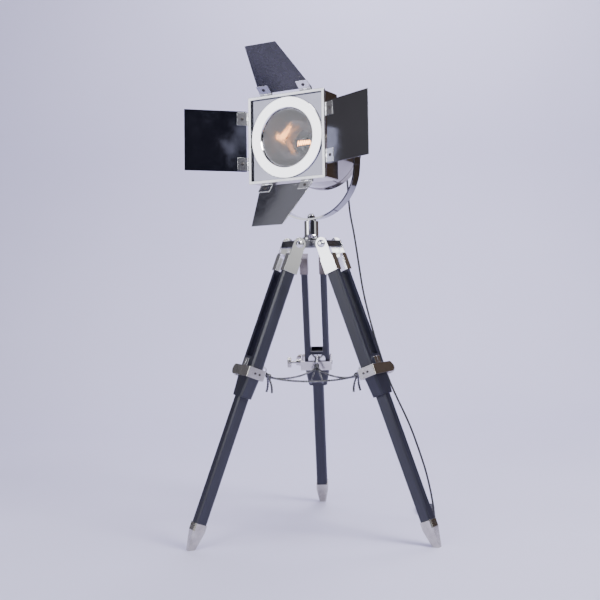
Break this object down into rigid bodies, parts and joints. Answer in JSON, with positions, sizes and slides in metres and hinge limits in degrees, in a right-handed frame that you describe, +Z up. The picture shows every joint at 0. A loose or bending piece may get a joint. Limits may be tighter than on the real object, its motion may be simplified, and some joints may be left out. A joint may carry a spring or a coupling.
{
  "type": "tripod floor lamp",
  "caption": "Barn-door spotlight on a swivelling yoke over a telescopic tripod with clamps, spreader wires, mains flex and plug.",
  "frame": {"origin": "on the floor, under the stem's axis", "axes": "+Z up; +Y along the rear leg, away from the lamp's front; +X to the right seen from the front; the lamp head faces -Y turned 27 degrees towards -X"},
  "size_m": [0.5676, 0.5759, 1.1079],
  "materials": {
    "lacquered_wood": "black lacquer, satin",
    "chrome": "polished",
    "nickel": "satin nickel plate",
    "dark_chrome": "polished casting",
    "steel_wire": "bright wire",
    "rubber_flex": "matt black flex",
    "plug_plastic": "black moulding",
    "clear_glass": "clear",
    "reflector_metal": "spun, bright",
    "porcelain": "glazed ceramic",
    "lamp_cap": "pressed"
  },
  "bodies": {
    "hub": {"hub": "dark_chrome", "leg_pivot_bolts": "chrome", "stem": "chrome", "pan_bolt": "chrome", "spreader_front": "steel_wire", "spreader_left": "steel_wire", "spreader_right": "steel_wire", "cord_drop": "rubber_flex", "cord_hank": "rubber_flex", "plug": "plug_plastic"},
    "leg_left": {"leg_left_rails": "lacquered_wood", "leg_left_fork": "chrome", "leg_left_clamp": "nickel", "leg_left_clamp_screws": "steel_wire", "leg_left_shoes": "chrome"},
    "lower_left": {"leg_left_lower_bar": "lacquered_wood", "leg_left_foot": "nickel"},
    "thumb_left": {"leg_left_thumbscrew": "nickel"},
    "leg_right": {"leg_right_rails": "lacquered_wood", "leg_right_fork": "chrome", "leg_right_clamp": "nickel", "leg_right_clamp_screws": "steel_wire", "leg_right_shoes": "chrome"},
    "lower_right": {"leg_right_lower_bar": "lacquered_wood", "leg_right_foot": "nickel"},
    "thumb_right": {"leg_right_thumbscrew": "nickel"},
    "leg_rear": {"leg_rear_rails": "lacquered_wood", "leg_rear_fork": "chrome", "leg_rear_clamp": "nickel", "leg_rear_clamp_screws": "steel_wire", "leg_rear_shoes": "chrome"},
    "lower_rear": {"leg_rear_lower_bar": "lacquered_wood", "leg_rear_foot": "nickel"},
    "thumb_rear": {"leg_rear_thumbscrew": "nickel"},
    "yoke": {"yoke": "chrome", "cord_lead": "rubber_flex"},
    "head": {"door_frame": "chrome", "hinge_pins": "steel_wire", "front_box": "chrome", "rear_drum": "chrome", "back_cover": "chrome", "cord_gland": "rubber_flex", "face_plate": "chrome", "lens_ring": "chrome", "lens_glass": "clear_glass", "reflector": "reflector_metal", "bulb": "clear_glass", "bulb_base": "lamp_cap", "lamp_holder": "porcelain", "tilt_bosses": "chrome"},
    "knob_left": {"tilt_knob_left": "chrome"},
    "knob_right": {"tilt_knob_right": "chrome"},
    "door_top": {"door_top": "chrome", "door_top_leaves": "chrome"},
    "door_bottom": {"door_bottom": "chrome", "door_bottom_leaves": "chrome"},
    "door_left": {"door_left": "chrome", "door_left_leaves": "chrome"},
    "door_right": {"door_right": "chrome", "door_right_leaves": "chrome"}
  },
  "joints": [
    {"name": "leg_left_fold", "type": "hinge", "parent": "hub", "child": "leg_left", "pos_m": [-0.0407, -0.0235, 0.673], "axis": [0.5, -0.866, 0], "range_deg": [0, 17.5], "deforming": ["spreader_front", "spreader_left"]},
    {"name": "leg_left_slide", "type": "slide", "parent": "leg_left", "child": "lower_left", "axis": [0.3194, 0.1844, 0.9295], "range_m": [0, 0.2]},
    {"name": "leg_left_thumbscrew_turn", "type": "hinge", "parent": "leg_left", "child": "thumb_left", "pos_m": [-0.14066, -0.08121, 0.38206], "axis": [0.5, -0.866, 0], "continuous": true},
    {"name": "leg_right_fold", "type": "hinge", "parent": "hub", "child": "leg_right", "pos_m": [0.0407, -0.0235, 0.673], "axis": [0.5, 0.866, 0], "range_deg": [0, 17.5], "deforming": ["spreader_front", "spreader_right"]},
    {"name": "leg_right_slide", "type": "slide", "parent": "leg_right", "child": "lower_right", "axis": [-0.3194, 0.1844, 0.9295], "range_m": [0, 0.2]},
    {"name": "leg_right_thumbscrew_turn", "type": "hinge", "parent": "leg_right", "child": "thumb_right", "pos_m": [0.14066, -0.08121, 0.38206], "axis": [0.5, 0.866, 0], "continuous": true},
    {"name": "leg_rear_fold", "type": "hinge", "parent": "hub", "child": "leg_rear", "pos_m": [0, 0.047, 0.673], "axis": [-1, 0, 0], "range_deg": [0, 17.5], "deforming": ["spreader_left", "spreader_right"]},
    {"name": "leg_rear_slide", "type": "slide", "parent": "leg_rear", "child": "lower_rear", "axis": [0, -0.3688, 0.9295], "range_m": [0, 0.2]},
    {"name": "leg_rear_thumbscrew_turn", "type": "hinge", "parent": "leg_rear", "child": "thumb_rear", "pos_m": [0, 0.16242, 0.38206], "axis": [-1, 0, 0], "continuous": true},
    {"name": "head_pan", "type": "hinge", "parent": "hub", "child": "yoke", "pos_m": [0, 0, 0.731], "axis": [0, 0, 1], "range_deg": [-60, 60], "deforming": ["cord_drop"]},
    {"name": "head_tilt", "type": "hinge", "parent": "yoke", "child": "head", "pos_m": [-0.0014, 0.00071, 0.90698], "axis": [0.8906, -0.4538, 0.0297], "range_deg": [-35, 22], "deforming": ["cord_lead"]},
    {"name": "tilt_knob_left_turn", "type": "hinge", "parent": "head", "child": "knob_left", "pos_m": [-0.0014, 0.00071, 0.90698], "axis": [0.8906, -0.4538, 0.0297], "continuous": true},
    {"name": "tilt_knob_right_turn", "type": "hinge", "parent": "head", "child": "knob_right", "pos_m": [-0.0014, 0.00071, 0.90698], "axis": [0.8906, -0.4538, 0.0297], "continuous": true},
    {"name": "door_right_hinge", "type": "hinge", "parent": "head", "child": "door_right", "pos_m": [0.04453, -0.13641, 0.91606], "axis": [-0.0005, -0.0663, -0.9978], "range_deg": [-43, 80]},
    {"name": "door_top_hinge", "type": "hinge", "parent": "head", "child": "door_top", "pos_m": [-0.0475, -0.08263, 1.01617], "axis": [0.8906, -0.4538, 0.0297], "range_deg": [-71, 53]},
    {"name": "door_left_hinge", "type": "hinge", "parent": "head", "child": "door_left", "pos_m": [-0.13965, -0.04256, 0.90993], "axis": [0.0005, 0.0663, 0.9978], "range_deg": [-63, 60]},
    {"name": "door_bottom_hinge", "type": "hinge", "parent": "head", "child": "door_bottom", "pos_m": [-0.04761, -0.09634, 0.80982], "axis": [-0.8906, 0.4538, -0.0297], "range_deg": [-39, 65]}
  ]
}
